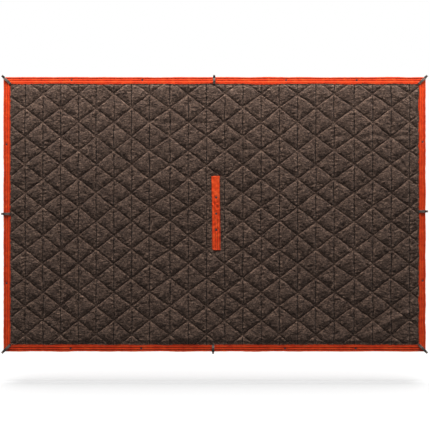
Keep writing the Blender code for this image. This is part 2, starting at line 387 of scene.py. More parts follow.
def held_down(x, z):
    """1 where the layers are sewn flat: under the binding and round the placket, else 0."""
    over_bottom = band_wide + 0.45 * (z - quilt_bottom - band_wide)
    inside = np.minimum(np.minimum(x - quilt_left, quilt_right - x), np.minimum(over_bottom, quilt_top - z))
    beside = beside_placket(x, z)
    return np.maximum(1 - ease(inside, band_wide, band_wide + 0.010), 1 - ease(beside, 0, 0.010))


SEAM_LEVEL = 0.0012
FLAT_LEVEL = 0.0028
PUFF = 0.0064
FURTHEST = 0.0138
LOOSE = 0.006


def pillow(x, z, u, v):
    """The batting's height between the seams, from 0 on a seam, where it may rise."""
    upright = np.abs(u - np.rint(u)) * PITCH * 1.5
    gap = np.minimum(slanted_gap(u, v), upright)
    rise = 0.74 * (1 - np.exp(-gap / 0.0034)) + 0.26 * np.sin(np.clip(gap / 0.030, 0, 1) * math.pi / 2)
    beside = beside_placket(x, z)
    room = 0.17 * np.clip(beside, 0.001, 0.05) + np.maximum(beside - 0.05, 0)
    uneven = 1 + 0.20 * np.clip(ripple(x, z, 0.065, 31), -1.5, 1.5)
    lid = np.minimum(PUFF * uneven, room)
    return lid * rise * (1 - held_down(x, z))


def mark_gap(mesh, gap):
    """Keeps each point's distance to the nearest row of stitches, which sets the painted shade in its
    colour.
    """
    mesh.attributes.new("gap", "FLOAT", "POINT").data.foreach_set("value", gap)


def puffed(name, side, seed, fine, shrink, pressure):
    """One of the quilt's two cloths, sewn down along the lattice and puffed between.  Side is
    -1 for the front and 1 for the back."""
    piece = sewn_grid(name, fine)
    mesh = piece.data
    if side > 0:
        mesh.flip_normals()
    at = places(mesh)
    x, z = at[:, 0].copy(), at[:, 2].copy()
    u, v = lattice_of(mesh)
    gap = nearest_seam(u, v)
    flat = held_down(x, z)
    stuffed = pillow(x, z, u, v)
    rough = 0.0008 * ripple(x * 0.8, z, 0.021, seed) + 0.0006 * ripple(x * 0.6, z, 0.013, seed + 1)
    loose = ease(gap, 0, 0.006) * (1 - flat)
    moved = np.stack([x, side * (stuffed + rough * loose), z], 1)
    put(mesh, moved)
    moved = billow(piece, (gap < ON_SEAM) | (flat > 0.98), shrink, pressure)
    height = side * moved[:, 1]
    # the batting behind the cloth stops it from sinking, and the cloth is only so loose
    soft = 0.0006
    under = 0.55 * stuffed
    height = under + soft * np.logaddexp(0, (height - under) / soft)
    height = under + LOOSE * np.tanh((height - under) / LOOSE)
    height = height * (1 - flat) * ease(gap, -0.001, 0.002)
    level = SEAM_LEVEL + (FLAT_LEVEL - SEAM_LEVEL) * flat
    stray_x, stray_z = wander(x, z)
    out = level + height + side * hang(x, z)
    # the tallest puffs are pressed in a little, as in a quilt that has been packed
    out = out - soft * np.logaddexp(0, (out - FURTHEST) / soft)
    put(mesh, np.stack([moved[:, 0] + stray_x, side * out, moved[:, 2] + stray_z], 1))
    # painted seam shade: an upright row is drawn in on both sides alike, so its shade shows wider than a
    # slanting one's
    row_gap = np.minimum(slanted_gap(u, v), 0.60 * np.abs(u - np.rint(u)) * PITCH)
    # painted shade darkens the cloth round the placket's edges, most in the nick over its top end
    over_top = (z > strip_high.z) & (x > strip_low.x - 0.002) & (x < strip_high.x + 0.002)
    placket_shade_gap = (np.abs(beside_placket(x, z)) + 0.0008) * np.where(over_top, 0.4, 1.0)
    # the painted seam shade is lifted where the seams cross
    crossing = 0.0040 * np.exp(-((crossing_gap(u, v) / 0.010) ** 2))
    mark_gap(mesh, np.minimum(row_gap + crossing, placket_shade_gap))
    return piece


def billow(piece, held, shrink, pressure):
    """Cloth a little too large for the lattice it is sewn to, blown out by the batting."""
    group = piece.vertex_groups.new(name="sewn")
    group.add([int(i) for i in np.flatnonzero(held)], 1.0, "REPLACE")
    before = places(piece.data)
    cloth = piece.modifiers.new("cloth", "CLOTH")
    cloth.collision_settings.use_collision = False
    rule = cloth.settings
    rule.quality = 3
    rule.mass = 0.1
    rule.tension_stiffness = rule.compression_stiffness = 8
    rule.shear_stiffness = 3
    rule.bending_stiffness = 0.03
    rule.vertex_group_mass = "sewn"
    rule.shrink_min = shrink
    rule.use_pressure = True
    rule.uniform_pressure_force = pressure
    rule.effector_weights.gravity = 0
    for step in range(1, 13):
        scene.frame_set(step)
    done = piece.evaluated_get(bpy.context.evaluated_depsgraph_get())
    after = places(done.data)
    piece.modifiers.remove(cloth)
    piece.vertex_groups.clear()
    scene.frame_set(1)
    return before + np.clip(after - before, -LOOSE, LOOSE)


front = puffed("front_shell_quilted", -1, 21, FINE, -0.05, 12.0)


MULTIPLIED = {"data_type": "RGBA", "blend_type": "MULTIPLY"}


def painted_seam_shade(tree, colour, darkest, reach):
    """A colour darkened with painted shade where a cloth is drawn into its seams."""
    gap = add(tree, "Attribute", attribute_name="gap").outputs["Fac"]
    near = {"Value": gap, "From Min": reach * 0.2, "From Max": reach, "To Min": darkest}
    depth = add(tree, "MapRange", near, interpolation_type="SMOOTHSTEP").outputs[0]
    return add(tree, "Mix", {0: 1.0, 6: colour, 7: depth}, **MULTIPLIED).outputs[2]


# Brushed flannel, woven from yarns of two browns and then napped: matt, mottled and softly
# furry, with a faint crosswise streak.  The nap is drawn coarser than its real half millimetre.
brushed_flannel, tree = material("brushed_flannel_brown")
spot = add(tree, "TexCoord").outputs["Object"]
streaks = add(tree, "Mapping", {"Vector": spot, "Scale": (0.65, 1.0, 1.6)}).outputs[0]
coarse = {"Vector": streaks, "Scale": 95, "Detail": 6, "Roughness": 0.72}
fine = {"Vector": streaks, "Scale": 190, "Detail": 4, "Roughness": 0.70}
mottle = add(tree, "TexNoise", coarse).outputs["Fac"]
nap = add(tree, "TexNoise", fine).outputs["Fac"]
browns = add(tree, "ValToRGB", {0: mottle}, stops=((0.32, "#38281F"), (0.50, "#614B3F"), (0.68, "#8C7160")))
shade = add(tree, "ValToRGB", {0: nap}, stops=((0.34, "#6C6C6C"), (0.62, "#FFFFFF")))
napped = add(tree, "Mix", {0: 0.9, 6: browns.outputs[0], 7: shade.outputs[0]}, **MULTIPLIED).outputs[2]
# painted highlight: the cloth is lightened on both sides of each seam, where its puffs rise towards the
# light
beside_seam = add(tree, "Attribute", attribute_name="gap").outputs["Fac"]
painted_seam_highlight = {"Value": beside_seam, "From Min": 0.003, "From Max": 0.011, "To Min": 1.34, "To Max": 1.03}
painted_seam_highlight = add(tree, "MapRange", painted_seam_highlight).outputs[0]
napped = add(tree, "Mix", {0: 1.0, 6: napped, 7: painted_seam_highlight}, **MULTIPLIED).outputs[2]
creped = add(tree, "Bump", {"Height": mottle, "Strength": 1.0, "Distance": 0.0050}).outputs[0]
furred = {"Height": nap, "Strength": 0.7, "Distance": 0.0014, "Normal": creped}
# painted shade darkens the flannel in its seams
flannel_look = {"Base Color": painted_seam_shade(tree, napped, 0.22, 0.0023), "Roughness": 0.93}
flannel_look.update({"Sheen Weight": 0.12, "Specular IOR Level": 0.2})
surface(tree, {**flannel_look, "Normal": add(tree, "Bump", furred).outputs[0]})
front.data.materials.append(brushed_flannel)
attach(front, "quilt")
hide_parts("front_shell")

# ---------------------------------------------------------------------------------------------
# Batting: a sheet of white polyester fibre, as wide as the two cloths and squeezed thin where
# they are sewn through it.  It is a closed form and shows at the edge of the head slot.
# ---------------------------------------------------------------------------------------------
batting = sewn_grid("batting_quilted", 8)
at = places(batting.data)
u, v = lattice_of(batting.data)
stuffed = 0.42 * pillow(at[:, 0], at[:, 2], u, v)
flat = held_down(at[:, 0], at[:, 2])
half = 0.0003 + stuffed + (FLAT_LEVEL - 0.0009) * flat
stray_x, stray_z = wander(at[:, 0], at[:, 2])
bulk = hang(at[:, 0], at[:, 2])
form = bmesh.new()
form.from_mesh(batting.data)
whole = bmesh.ops.extrude_face_region(form, geom=form.faces[:])
behind = {point for point in whole["geom"] if isinstance(point, bmesh.types.BMVert)}
up, across = form.verts.layers.float["v"], form.verts.layers.float["u"]
depth_at = {(round(b, 6), round(a, 6)): i for i, (a, b) in enumerate(zip(u, v))}
for point in form.verts:
    i = depth_at[(round(point[up], 6), round(point[across], 6))]
    side = 1 if point in behind else -1
    point.co = (at[i, 0] + stray_x[i], side * half[i] + bulk[i], at[i, 2] + stray_z[i])
bmesh.ops.recalc_face_normals(form, faces=form.faces)
form.to_mesh(batting.data)
form.free()
batting.data.shade_smooth()

# Polyester wadding: white crimped fibres in a loose felt.
polyester_wadding, tree = material("polyester_wadding_white")
spot = add(tree, "TexCoord").outputs["Object"]
crimped = {"Vector": spot, "Scale": 420, "Detail": 5, "Distortion": 1.5}
fibres = add(tree, "TexNoise", crimped).outputs["Fac"]
fluff = add(tree, "Bump", {"Height": fibres, "Strength": 0.8, "Distance": 0.0012}).outputs[0]
whites = add(tree, "ValToRGB", {0: fibres}, stops=((0.3, "#D9D8D2"), (0.7, "#F6F5F0"))).outputs[0]
surface(tree, {"Base Color": whites, "Roughness": 0.95, "Normal": fluff})
batting.data.materials.append(polyester_wadding)
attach(batting, "quilt")
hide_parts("batting")

# ---------------------------------------------------------------------------------------------
# Back lining: thin orange ripstop nylon, sewn through along the same lattice.  It is lighter and
# crisper than the front cloth, so it gathers into finer wrinkles along its seams.
# ---------------------------------------------------------------------------------------------
back = puffed("back_lining_quilted", 1, 41, 13, -0.06, 10.0)

# Ripstop nylon, calendered: a faint square of thicker yarns every 5 mm, and a low sheen.
ripstop, tree = material("ripstop_nylon_orange")
spot = add(tree, "TexCoord").outputs["Object"]
cells = add(tree, "VectorMath", {0: spot, 1: (0.005, 0.005, 0.005)}, operation="MODULO").outputs[0]
parts = add(tree, "SeparateXYZ", {0: cells})
lines = []
for axis in ("X", "Z"):
    yarn = add(tree, "Math", {0: parts.outputs[axis]}, operation="ABSOLUTE").outputs[0]
    lines.append(add(tree, "Math", {0: yarn, 1: 0.0006}, operation="LESS_THAN").outputs[0])
grid_lines = add(tree, "Math", {0: lines[0], 1: lines[1]}, operation="MAXIMUM").outputs[0]
faded = add(tree, "TexNoise", {"Vector": spot, "Scale": 9, "Detail": 4}).outputs["Fac"]
oranges = add(tree, "ValToRGB", {0: faded}, stops=((0.35, "#D6431B"), (0.65, "#E4532A"))).outputs[0]
netting = add(tree, "Math", {0: grid_lines, 1: 0.25}, operation="MULTIPLY").outputs[0]
netted = {0: netting, 6: oranges, 7: linear("#A92F12")}
netted = add(tree, "Mix", netted, data_type="RGBA").outputs[2]
raised = add(tree, "Bump", {"Height": grid_lines, "Strength": 0.4, "Distance": 0.0002}).outputs[0]
# painted shade darkens the lining in its seams
lining_look = {"Base Color": painted_seam_shade(tree, netted, 0.55, 0.0040), "Roughness": 0.48}
surface(tree, {**lining_look, "Sheen Weight": 0.15, "Normal": raised})
back.data.materials.append(ripstop)
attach(back, "quilt")
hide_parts("back_lining")

# ---------------------------------------------------------------------------------------------
# Quilting threads: lock stitches along every seam, brown on the front and orange on the back.
# Stitches are drawn 5 mm long and 0.7 mm thick, a little coarser than real ones.
# ---------------------------------------------------------------------------------------------
STITCH = 0.0050


def stitches(name, starts, ends, thick, outward, finish):
    """A row of raised stitches, one from each start to its end."""
    form = bmesh.new()
    bmesh.ops.create_uvsphere(form, u_segments=3, v_segments=3, radius=0.5)
    form.verts.ensure_lookup_table()
    shape = np.array([point.co for point in form.verts])
    sides = [[point.index for point in face.verts] for face in form.faces]
    form.free()
    starts, ends, outward = (np.asarray(value, float) for value in (starts, ends, outward))
    run = ends - starts
    long = np.linalg.norm(run, axis=1, keepdims=True)
    ahead = run / long
    across = np.cross(ahead, np.broadcast_to(outward, ahead.shape))
    across /= np.linalg.norm(across, axis=1, keepdims=True)
    up = np.cross(across, ahead)
    middle = (starts + ends) / 2
    points = (
        middle[:, None]
        + ahead[:, None] * (long[:, None] * shape[None, :, 2:3] * 0.96)
        + across[:, None] * (thick * shape[None, :, 0:1])
        + up[:, None] * (thick * shape[None, :, 1:2])
    )
    faces = [[i + k * len(shape) for i in face] for k in range(len(starts)) for face in sides]
    mesh = bpy.data.meshes.new(name)
    mesh.from_pydata(points.reshape(-1, 3).tolist(), [], faces)
    mesh.shade_smooth()
    mesh.materials.append(finish)
    piece = bpy.data.objects.new(name, mesh)
    scene.collection.objects.link(piece)
    return piece


def apart(points, clear, gap):
    """Each stitch's start and end along a row of points, drawn in so that they stand apart."""
    a, b = points[:-1][clear], points[1:][clear]
    return a + (b - a) * gap, b - (b - a) * gap


def thread(name, colour):
    """Spun polyester thread: two twisted plies, which show as slanting bands."""
    made, tree = material(name)
    spot = add(tree, "TexCoord").outputs["Object"]
    plies = {"Vector": spot, "Scale": 260, "Distortion": 2}
    plies = add(tree, "TexWave", plies, bands_direction="DIAGONAL").outputs
    twist = add(tree, "Bump", {"Height": plies["Fac"], "Strength": 0.5, "Distance": 0.0002}).outputs[0]
    tone = add(tree, "Mix", {0: 0.35, 6: linear(colour), 7: plies["Color"]}, **MULTIPLIED).outputs[2]
    surface(tree, {"Base Color": tone, "Roughness": 0.6, "Normal": twist})
    return made


brown_thread = thread("polyester_thread_brown", "#3B2D26")
orange_thread = thread("polyester_thread_orange", "#C93A14")
dark_thread = thread("polyester_thread_black", "#1E1B1A")


def seam_lines():
    """Every seam's two ends in lattice places, well past the quilt's edges."""
    last = len(seam_x) - 1
    low, high = -1, FIRST_NODE / ROW_STEP + shell_high / 2 / ROW_STEP + 1
    lines = [((k, low), (k, high)) for k in range(last + 1)]
    for k in range(-int(high) - 2, last + 3):
        if k % 2 == 0:
            lines.append(((k + low, low), (k + high, high)))
            lines.append(((k - low, low), (k - high, high)))
    return lines


def quilted_run(side):
    """Each quilting stitch's start and end on one face."""
    rows = []
    for (u0, v0), (u1, v1) in seam_lines():
        long = math.hypot((u1 - u0) * PITCH, (v1 - v0) * ROW_STEP)
        t = np.arange(0, long, STITCH) / long
        u, v = u0 + (u1 - u0) * t, v0 + (v1 - v0) * t
        x = middle_x + np.interp(u, range(len(seam_x)), seam_x)
        z = middle_z + FIRST_NODE - v * ROW_STEP
        free = (u > 0) & (u < len(seam_x) - 1) & (held_down(x, z) < 0.8)
        stray_x, stray_z = wander(x, z)
        y = side * (SEAM_LEVEL + 0.0003) + hang(x, z) + side * 0.0018 * held_down(x, z)
        points = np.stack([x + stray_x, y, z + stray_z], 1)
        rows.append(apart(points, free[:-1] & free[1:], 0.12))
    return [np.concatenate(values) for values in zip(*rows)]


for label, side, finish in (("front", -1, brown_thread), ("back", 1, orange_thread)):
    starts, ends = quilted_run(side)
    sewn = stitches(f"quilting_thread_{label}", starts, ends, 0.0007, (0, side, 0), finish)
    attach(sewn, "quilt")

# ---------------------------------------------------------------------------------------------
# Binding: four lengths of orange polyester, each folded over the quilt's raw edge and mitred at
# the corners.  Three rows of stitches draw it down, so it stands up between them in ribs.
# ---------------------------------------------------------------------------------------------
ROWS = (0.0086, 0.0205, 0.0315)
# Places across the band in millimetres from its edge, closer together beside each row
BAND_AT = (0, 0.4, 1, 2, 3.5, 5.4, 7.0, 7.9, 8.6, 9.3, 10.6, 12.6, 15, 17, 18.8, 19.8, 20.5, 21.2, 22.4, 24)
BAND_AT = np.array(BAND_AT + (26, 28, 29.6, 30.8, 31.5, 32.2, 33.4, 34.6, 35)) / 1000
BAND_STEP = 0.0045
BAND_SHARE = 0.94
CLOTH = 0.00045
SPREAD = 0.060
MITRE_GAP = 0.0002


def grid_piece(name, long_count, wide_count):
    """A sheet of quads, with each point's column and row."""
    form = bmesh.new()
    bmesh.ops.create_grid(form, x_segments=long_count, y_segments=wide_count, size=0.5)
    piece = new_piece(name, form)
    at = places(piece.data)
    column = np.rint((at[:, 0] + 0.5) * long_count).astype(int)
    row = np.rint((at[:, 1] + 0.5) * wide_count).astype(int)
    return piece, column, row


def pattern_map(mesh, along, across):
    """A UV map in metres from each point's place along and across a strip."""
    corners = np.zeros(len(mesh.loops), int)
    mesh.loops.foreach_get("vertex_index", corners)
    layer = mesh.uv_layers.new(name="strip")
    layer.data.foreach_set("uv", np.stack([along, across], 1)[corners].ravel())


def made_of_cloth(piece, points, outward, thick, finish):
    """A sheet put in its place with its face outwards, and given its thickness inwards."""
    put(piece.data, points)
    normals = np.zeros(len(points) * 3)
    piece.data.vertex_normals.foreach_get("vector", normals)
    if (normals.reshape(-1, 3) * outward).sum() < 0:
        piece.data.flip_normals()
    wall = piece.modifiers.new("thickness", "SOLIDIFY")
    wall.thickness = thick
    wall.offset = -1
    piece.data.materials.append(finish)
    piece.data.shade_smooth()


def edge_frame(side):
    """The corner a side's binding starts from, the way it runs, and the way in from its edge."""
    frames = {
        "top": ((quilt_left, quilt_top), (1, 0), (0, -1)),
        "bottom": ((quilt_left, quilt_bottom), (1, 0), (0, 1)),
        "left": ((quilt_left, quilt_bottom), (0, 1), (1, 0)),
        "right": ((quilt_right, quilt_bottom), (0, 1), (-1, 0)),
    }
    corner, run, inward = (np.array(value, float) for value in frames[side])
    long = quilt_right - quilt_left if side in ("top", "bottom") else quilt_top - quilt_bottom
    return corner, run, inward, long


def node_middle(name):
    low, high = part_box(name)
    return (low + high) / 2


edge_caps = [node.name for node in bpy.data.objects if node.name.startswith("edge_cap_")]
cap_places = [node_middle(name) for name in sorted(edge_caps)]


def snap_gap(x, z, caps):
    """The distance to the nearest of these snaps."""
    return np.min([np.hypot(x - cap.x, z - cap.z) for cap in caps], axis=0)


def pinched(x, z):
    """1 at a snap, where it pinches the band flat, and 0 away from it."""
    return 1 - ease(snap_gap(x, z, cap_places), 0.0046, 0.0085)


def band_place(side, along, inset):
    """A place on a side's band in the quilt's plane, with its slightly uneven edges."""
    corner, run, inward, long = edge_frame(side)
    seed = 60 + len(side)
    from_end = np.minimum(along, long - along)
    calm = ease(from_end, 0.035, 0.08)
    outer = 0.0007 * ripple(along, 0, 0.16, seed) + 0.0003 * ripple(along, 0, 0.03, seed + 1)
    inner = 0.0008 * ripple(along, 0, 0.022, seed + 2) + 0.0005 * ripple(along, 0, 0.011, seed + 3)
    inner = inner + 0.0011 * ripple(along, 0, 0.11, seed + 4)
    share = inset / band_wide
    moved = inset * BAND_SHARE + calm * (outer * (1 - share) + inner * ease(share, 0.75, 1.0))
    flat = corner[:, None] + run[:, None] * along + inward[:, None] * moved
    return flat[0], flat[1]


def band_height(side, along, inset, x, z, face):
    """How far a band's cloth stands out from the quilt's mid-plane."""
    seed = 70 + len(side) + face
    base = 0.0019 + 0.0015 * ease(inset, 0.0205, 0.0240)
    drawn = sum(np.exp(-(((inset - row) / 0.0014) ** 2)) for row in ROWS)
    nose = np.sqrt(np.clip(1 - (1 - np.clip(inset / 0.0026, 0, 1)) ** 2, 0, 1))
    rib = (0.0014 - 0.0006 * ease(inset, 0.019, 0.024)) * (1 - np.clip(drawn, 0, 1))
    long = edge_frame(side)[-1]
    calm = ease(np.minimum(along, long - along), 0.035, 0.07)
    pucker = 0.00030 * ripple(along, inset * 2, 0.013, seed)
    pucker = pucker + 0.00022 * ripple(along, inset, 0.035, seed + 9)
    tall = nose * (base + rib + calm * pucker * (1 - 0.6 * np.clip(drawn, 0, 1)))
    pinch = pinched(x, z)
    tall = tall * (1 - pinch) + np.minimum(tall, 0.00145) * pinch
    return np.minimum(tall, 0.0043)


# Polyester pongee, plain weave, in a bright orange: a crosswise rib, a low sheen and a little
# fading.  The weave is drawn at 1.1 mm, coarser than its real 0.3 mm.
pongee, tree = material("polyester_pongee_orange")
spot = add(tree, "TexCoord").outputs["Object"]
warp = add(tree, "TexWave", {"Vector": spot, "Scale": 145, "Distortion": 1.2}, bands_direction="X")
weft = add(tree, "TexWave", {"Vector": spot, "Scale": 145, "Distortion": 1.2}, bands_direction="Z")
weave = {0: warp.outputs["Fac"], 1: weft.outputs["Fac"]}
weave = add(tree, "Math", weave, operation="MAXIMUM").outputs[0]
faded = {"Vector": spot, "Scale": 38, "Detail": 4, "Roughness": 0.6}
faded = add(tree, "TexNoise", faded).outputs["Fac"]
oranges = add(tree, "ValToRGB", {0: faded}, stops=((0.30, "#E0360E"), (0.55, "#F64816"), (0.75, "#FE6226")))
woven = add(tree, "Mix", {0: 0.12, 6: oranges.outputs[0], 7: weave}, **MULTIPLIED).outputs[2]
crepe = add(tree, "Bump", {"Height": faded, "Strength": 0.35, "Distance": 0.0015}).outputs[0]
ribs = {"Height": weave, "Strength": 0.25, "Distance": 0.0002, "Normal": crepe}
# painted shade darkens the cloth along its rows of stitches
pongee_look = {"Base Color": painted_seam_shade(tree, woven, 0.50, 0.0021), "Roughness": 0.66}
pongee_look.update({"Specular IOR Level": 0.15, "Sheen Weight": 0.40, "Sheen Tint": linear("#FF7A3C")})
surface(tree, {**pongee_look, "Normal": add(tree, "Bump", ribs).outputs[0]})

# The placket's doubled strips take a lighter copy of the binding cloth: painted light, as they stand proud
# of the quilt and catch more light.
pongee_lit_copy = pongee.copy()
pongee_lit_copy.name = "polyester_pongee_orange_doubled"
brighter = next(node for node in pongee_lit_copy.node_tree.nodes if node.bl_idname == "ShaderNodeValToRGB")
for element, colour in zip(brighter.color_ramp.elements, ("#EE3F12", "#FF541E", "#FF7034")):
    element.color = linear(colour)

SIDES = ("top", "bottom", "left", "right")
for side in SIDES:
    long = edge_frame(side)[-1]
    leg = len(BAND_AT) - 1
    count = round(long / BAND_STEP)
    piece, column, row = grid_piece(f"binding_{side}_folded", count, 2 * leg)
    face = np.where(row < leg, -1, 1)
    inset = BAND_AT[np.abs(row - leg)]
    even = column / count * long
    mitre = np.clip(1 - even / SPREAD, 0, 1) - np.clip(1 - (long - even) / SPREAD, 0, 1)
    along = even + (inset + MITRE_GAP) * mitre
    x, z = band_place(side, along, inset)
    front_tall, back_tall = (band_height(side, along, inset, x, z, facing) for facing in (-1, 1))
    tall = np.where(face < 0, front_tall, back_tall)
    y = face * tall + hang(x, z)
    outward = np.stack([np.zeros(len(y)), face.astype(float), np.zeros(len(y))], 1)
    made_of_cloth(piece, np.stack([x, y, z], 1), outward, CLOTH, pongee)
    # painted shade along the binding's three rows, widest on the row nearest the edge
    depth = np.min([np.abs(inset - row_at) for row_at in ROWS], axis=0)
    mark_gap(piece.data, depth * (0.5 + 0.5 * (inset > 0.015)))
    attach(piece, "quilt")
    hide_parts(f"binding_{side}")

# ---------------------------------------------------------------------------------------------
# Topstitching of the binding: three rows along each side, on both faces, in orange thread.
# Stitches are 4 mm long.
# ---------------------------------------------------------------------------------------------
TOPSTITCH = 0.0040
for side in SIDES:
    long = edge_frame(side)[-1]
    rows = []
    for face in (-1, 1):
        for inset_at in ROWS:
            along = np.arange(inset_at, long - inset_at, TOPSTITCH)
            inset = np.full(len(along), inset_at)
            x, z = band_place(side, along, inset)
            tall = band_height(side, along, inset, x, z, face) + 0.00012
            points = np.stack([x, face * tall + hang(x, z), z], 1)
            start, end = apart(points, pinched(x, z)[:-1] < 0.2, 0.10)
            rows.append((start, end, np.tile((0.0, face, 0.0), (len(start), 1))))
    starts, ends, outward = [np.concatenate(values) for values in zip(*rows)]
    sewn = stitches(f"binding_topstitch_{side}", starts, ends, 0.0006, outward, orange_thread)
    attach(sewn, "quilt")

# ---------------------------------------------------------------------------------------------
# Slot facing: a strip of the binding cloth folded over the raw edge of the head slot, all the
# way round it.  It shows once the placket is open.
# ---------------------------------------------------------------------------------------------
FACING_LEG = 0.0040
FACING_Y = FLAT_LEVEL + 0.0003


def round_rectangle(low, high, radius, step):
    """Points round a rectangle in the XZ plane, with the outward way at each."""
    points, ways = [], []
    corners = ((high.x, high.z, 0), (low.x, high.z, 90), (low.x, low.z, 180), (high.x, low.z, 270))
    for x, z, start in corners:
        in_x = x - math.copysign(radius, x - (low.x + high.x) / 2)
        in_z = z - math.copysign(radius, z - (low.z + high.z) / 2)
        for k in range(7):
            turn = math.radians(start + 15 * k)
            ways.append((math.cos(turn), math.sin(turn)))
            points.append((in_x + radius * ways[-1][0], in_z + radius * ways[-1][1]))
    whole, facing = [], []
    for k, (a, way_a) in enumerate(zip(points, ways)):
        b, way_b = points[(k + 1) % len(points)], ways[(k + 1) % len(ways)]
        parts = max(1, round(math.hypot(b[0] - a[0], b[1] - a[1]) / step))
        for part in range(parts):
            t = part / parts
            whole.append((a[0] + (b[0] - a[0]) * t, a[1] + (b[1] - a[1]) * t))
            facing.append((way_a[0] + (way_b[0] - way_a[0]) * t, way_a[1] + (way_b[1] - way_a[1]) * t))
    return np.array(whole), np.array(facing)


ring, ways = round_rectangle(slot_low, slot_high, 0.0035, 0.005)
fold = [(FACING_LEG, FACING_Y), (FACING_LEG * 0.6, FACING_Y + 0.0001), (0.0, FACING_Y), (-0.0006, 0.0022)]
fold = fold + [(-0.0007, 0.0)] + [(out, -y) for out, y in reversed(fold)]
piece, column, row = grid_piece("slot_facing_folded", len(ring), len(fold) - 1)
column = column % len(ring)
out = np.array([point[0] for point in fold])[row]
level = -np.array([point[1] for point in fold])[row]
at = ring[column] + ways[column] * out[:, None]
uneven = 0.00015 * ripple(at[:, 0], at[:, 1], 0.02, 81)
points = np.stack([at[:, 0], level + uneven, at[:, 1]], 1)
outward = np.stack([-ways[column][:, 0], np.zeros(len(at)), -ways[column][:, 1]], 1)
made_of_cloth(piece, points, outward * (np.abs(level) < 0.002)[:, None], 0.0003, pongee)
mark_gap(piece.data, np.full(len(points), 0.01))
form = bmesh.new()
form.from_mesh(piece.data)
bmesh.ops.remove_doubles(form, verts=form.verts, dist=0.00002)
form.to_mesh(piece.data)
form.free()
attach(piece, "quilt")
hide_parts("slot_facing")

# ---------------------------------------------------------------------------------------------
# Placket: two strips of doubled binding cloth over the head slot.  The front one is sewn down
# on its right and the back one on its left, and snaps join them through the slot.
# ---------------------------------------------------------------------------------------------
STRIP_ROWS = (0.0138, 0.0245, 0.0338)
HEM = 0.0088
under_low, under_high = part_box("placket_under")
snap_places = [node_middle(f"placket_cap_{rank}") for rank in ("upper", "middle", "lower")]


def strip_place(down, across, face):
    """A place on a placket strip: how far down it from its top, and across it from its free
    edge.  The front strip leans a little, as it was sewn."""
    share = down / (strip_high.z - strip_low.z)
    wide = strip_high.x - strip_low.x
    z = strip_high.z - down + 0.0010 * ripple(across, 0, 0.03, 90 + face) * (1 - 2 * share)
    if face < 0:
        free, sewn = -0.0152 + 0.0058 * share, 0.0243 + 0.0044 * share
        free = free + 0.0005 * ripple(down, 0, 0.05, 91)
        sewn = sewn + 0.0004 * ripple(down, 0, 0.04, 92)
        return free + (sewn - free) * across / wide, z
    return under_high.x - across + 0.0004 * ripple(down, 0, 0.05, 93), z


def strip_shade_gap(down, across):
    """The distance on a placket strip to its nearest row of stitches, its hem or its edge, which sets its
    painted shade; the rows' shade fades out towards the strip's top.
    """
    long = strip_high.z - strip_low.z
    upright = np.min([np.abs(across - row_at) for row_at in STRIP_ROWS], axis=0)
    upright = upright + 0.004 * (1 - ease(down, 0.02, 0.12)) + 0.0006
    hems = np.minimum(np.abs(down - (long - HEM)), np.abs(down - 0.003) + 0.0005)
    wide = strip_high.x - strip_low.x
    return np.minimum(np.minimum(upright, hems), np.minimum(across, wide - across) + 0.0004)


def strip_height(down, across, x, z, face):
    """How far a placket strip's outer face stands out from the quilt's mid-plane."""
    wide, long = strip_high.x - strip_low.x, strip_high.z - strip_low.z
    drawn = sum(np.exp(-(((across - row) / 0.0011) ** 2)) for row in STRIP_ROWS)
    drawn = drawn * ease(down, 0.010, 0.09) * (1 - ease(down, long - 0.016, long - 0.010))
    hem = np.exp(-(((long - HEM - down) / 0.0011) ** 2)) + 0.6 * np.exp(-(((down - 0.012) / 0.0016) ** 2))
    edge = ease(np.minimum(across, wide - across), 0, 0.0022)
    edge = edge * ease(np.minimum(down, long - down), 0, 0.0022)
    crumple = 0.0005 * ripple(across * 1.2, down, 0.026, 95 + face)
    crumple = crumple + 0.0003 * ripple(across, down * 2, 0.012, 96)
    pulled = np.exp(-(((down - 0.145) / 0.022) ** 2))
    crumple = crumple + 0.0010 * pulled * ripple(across, down * 1.6, 0.016, 97)
    tall = 0.0051 + 0.0004 * edge + crumple - 0.0014 * np.clip(drawn + hem, 0, 1)
    tall = tall + 0.0020 * np.exp(-(((long - 0.0045 - down) / 0.0028) ** 2))
    pinch = 1 - ease(snap_gap(x, z, snap_places), 0.0048, 0.0085)
    tall = tall * (1 - pinch) + np.minimum(tall, 0.0043) * pinch
    return np.clip(tall, 0.0038, 0.0074)


